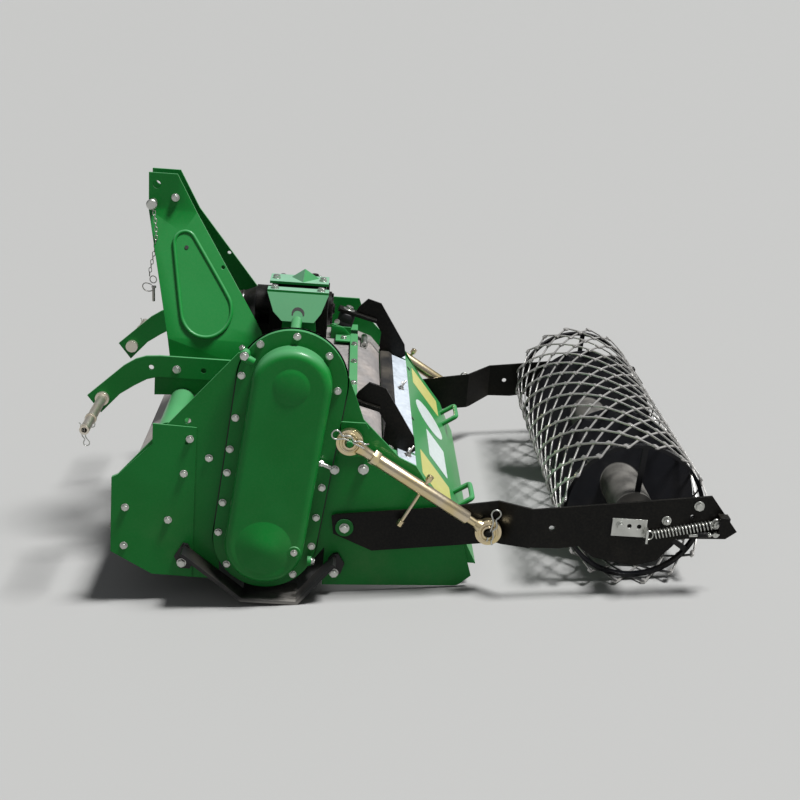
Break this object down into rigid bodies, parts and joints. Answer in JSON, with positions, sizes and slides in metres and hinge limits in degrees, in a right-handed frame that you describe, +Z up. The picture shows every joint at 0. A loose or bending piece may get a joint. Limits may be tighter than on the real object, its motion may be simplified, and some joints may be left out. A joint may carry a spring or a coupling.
{
  "type": "three-point rotary tiller",
  "caption": "Three-point rotary tiller with side drive case, hinged tailboard, rubber-buffered lever arms and a mesh roller held by turnbuckles.",
  "frame": {"origin": "floor level under the middle of the bounding box, machine parked on its skids and roller", "axes": "+X to the rear (roller end), +Y to the machine's right, +Z up"},
  "size_m": [1.8794, 1.488, 1.1636],
  "materials": {
    "green_paint": "semi-gloss",
    "black_paint": "satin",
    "zinc_plate": "satin",
    "galvanised_sheet": "satin",
    "yellow_zinc": "satin",
    "black_plastic": "matte",
    "rubber": "matte",
    "bare_steel": "machined"
  },
  "bodies": {
    "frame": {"sidePlateLeft": "green_paint", "sidePlateRight": "green_paint", "frontPanelLeft": "green_paint", "frontPanelRight": "green_paint", "driveCase": "green_paint", "caseCover": "green_paint", "rotorHub": "green_paint", "mainTube": "green_paint", "rearBeam": "green_paint", "hood": "galvanised_sheet", "mastPlateLeft": "green_paint", "mastPlateRight": "green_paint", "topPin": "zinc_plate", "mastSpacer": "zinc_plate", "linkArmLeft": "green_paint", "linkArmRight": "green_paint", "lowerPinLeft": "zinc_plate", "lowerPinRight": "zinc_plate", "gearbox": "black_paint", "gearBracket": "green_paint", "driveHousing": "green_paint", "shaftGuard": "black_plastic", "skidLeft": "black_paint", "skidRight": "black_paint", "bufferBracketLeft": "green_paint", "bufferBracketRight": "green_paint", "bufferLeft": "rubber", "bufferRight": "rubber"},
    "rotor": {"rotor": "black_paint"},
    "input_shaft": {"inputShaft": "bare_steel"},
    "tailboard": {"tailboard": "green_paint", "tailStrip": "galvanised_sheet", "tailArmLeft": "black_paint", "tailArmRight": "black_paint", "tailHandles": "green_paint"},
    "carrier": {"rollerArmLeft": "black_paint", "rollerArmRight": "black_paint", "rollerAxle": "bare_steel", "scraperSpringLeft": "zinc_plate", "scraperSpringRight": "zinc_plate", "springBracketLeft": "zinc_plate", "springBracketRight": "zinc_plate"},
    "roller": {"rollerCore": "black_paint", "rollerMesh": "black_paint"},
    "barrel_left": {"turnBarrelLeft": "yellow_zinc"},
    "rod_left": {"turnRodLeft": "yellow_zinc"},
    "barrel_right": {"turnBarrelRight": "yellow_zinc"},
    "rod_right": {"turnRodRight": "yellow_zinc"}
  },
  "joints": [
    {"name": "rotor_spin", "type": "hinge", "parent": "frame", "child": "rotor", "pos_m": [-0.40423, 0, 0.18439], "axis": [0, 1, 0], "continuous": true},
    {"name": "input_spin", "type": "hinge", "parent": "frame", "child": "input_shaft", "pos_m": [-0.49729, 0, 0.73398], "axis": [0.9939, 0, -0.1101], "continuous": true},
    {"name": "tailboard_hinge", "type": "hinge", "parent": "frame", "child": "tailboard", "pos_m": [-0.03535, 0, 0.39908], "axis": [0, -1, 0], "range_deg": [0, 7], "deforming": ["bufferLeft", "bufferRight"]},
    {"name": "carrier_pivot", "type": "hinge", "parent": "frame", "child": "carrier", "pos_m": [-0.17388, 0, 0.21119], "axis": [0, 1, 0], "range_deg": [-6, 7]},
    {"name": "roller_spin", "type": "hinge", "parent": "carrier", "child": "roller", "pos_m": [0.66374, 0, 0.216], "axis": [0, 1, 0], "continuous": true},
    {"name": "barrel_left_pivot", "type": "hinge", "parent": "frame", "child": "barrel_left", "pos_m": [-0.14603, -0.649, 0.48077], "axis": [0, 1, 0], "range_deg": [-4.44, 5.14]},
    {"name": "rod_left_slide", "type": "slide", "parent": "barrel_left", "child": "rod_left", "axis": [0.7976, 0, -0.6032], "range_m": [-0.0261, 0.0301]},
    {"name": "barrel_right_pivot", "type": "hinge", "parent": "frame", "child": "barrel_right", "pos_m": [-0.14603, 0.649, 0.48077], "axis": [0, 1, 0], "range_deg": [-4.44, 5.14]},
    {"name": "rod_right_slide", "type": "slide", "parent": "barrel_right", "child": "rod_right", "axis": [0.7976, 0, -0.6032], "range_m": [-0.0261, 0.0301]}
  ],
  "couplings": [
    {"joint": "input_spin", "follows": "rotor_spin", "ratio": -2.35},
    {"joint": "barrel_left_pivot", "follows": "carrier_pivot", "ratio": 0.70584},
    {"joint": "rod_left_slide", "follows": "carrier_pivot", "m_per_rad": 0.2304},
    {"joint": "barrel_right_pivot", "follows": "carrier_pivot", "ratio": 0.70584},
    {"joint": "rod_right_slide", "follows": "carrier_pivot", "m_per_rad": 0.2304}
  ]
}
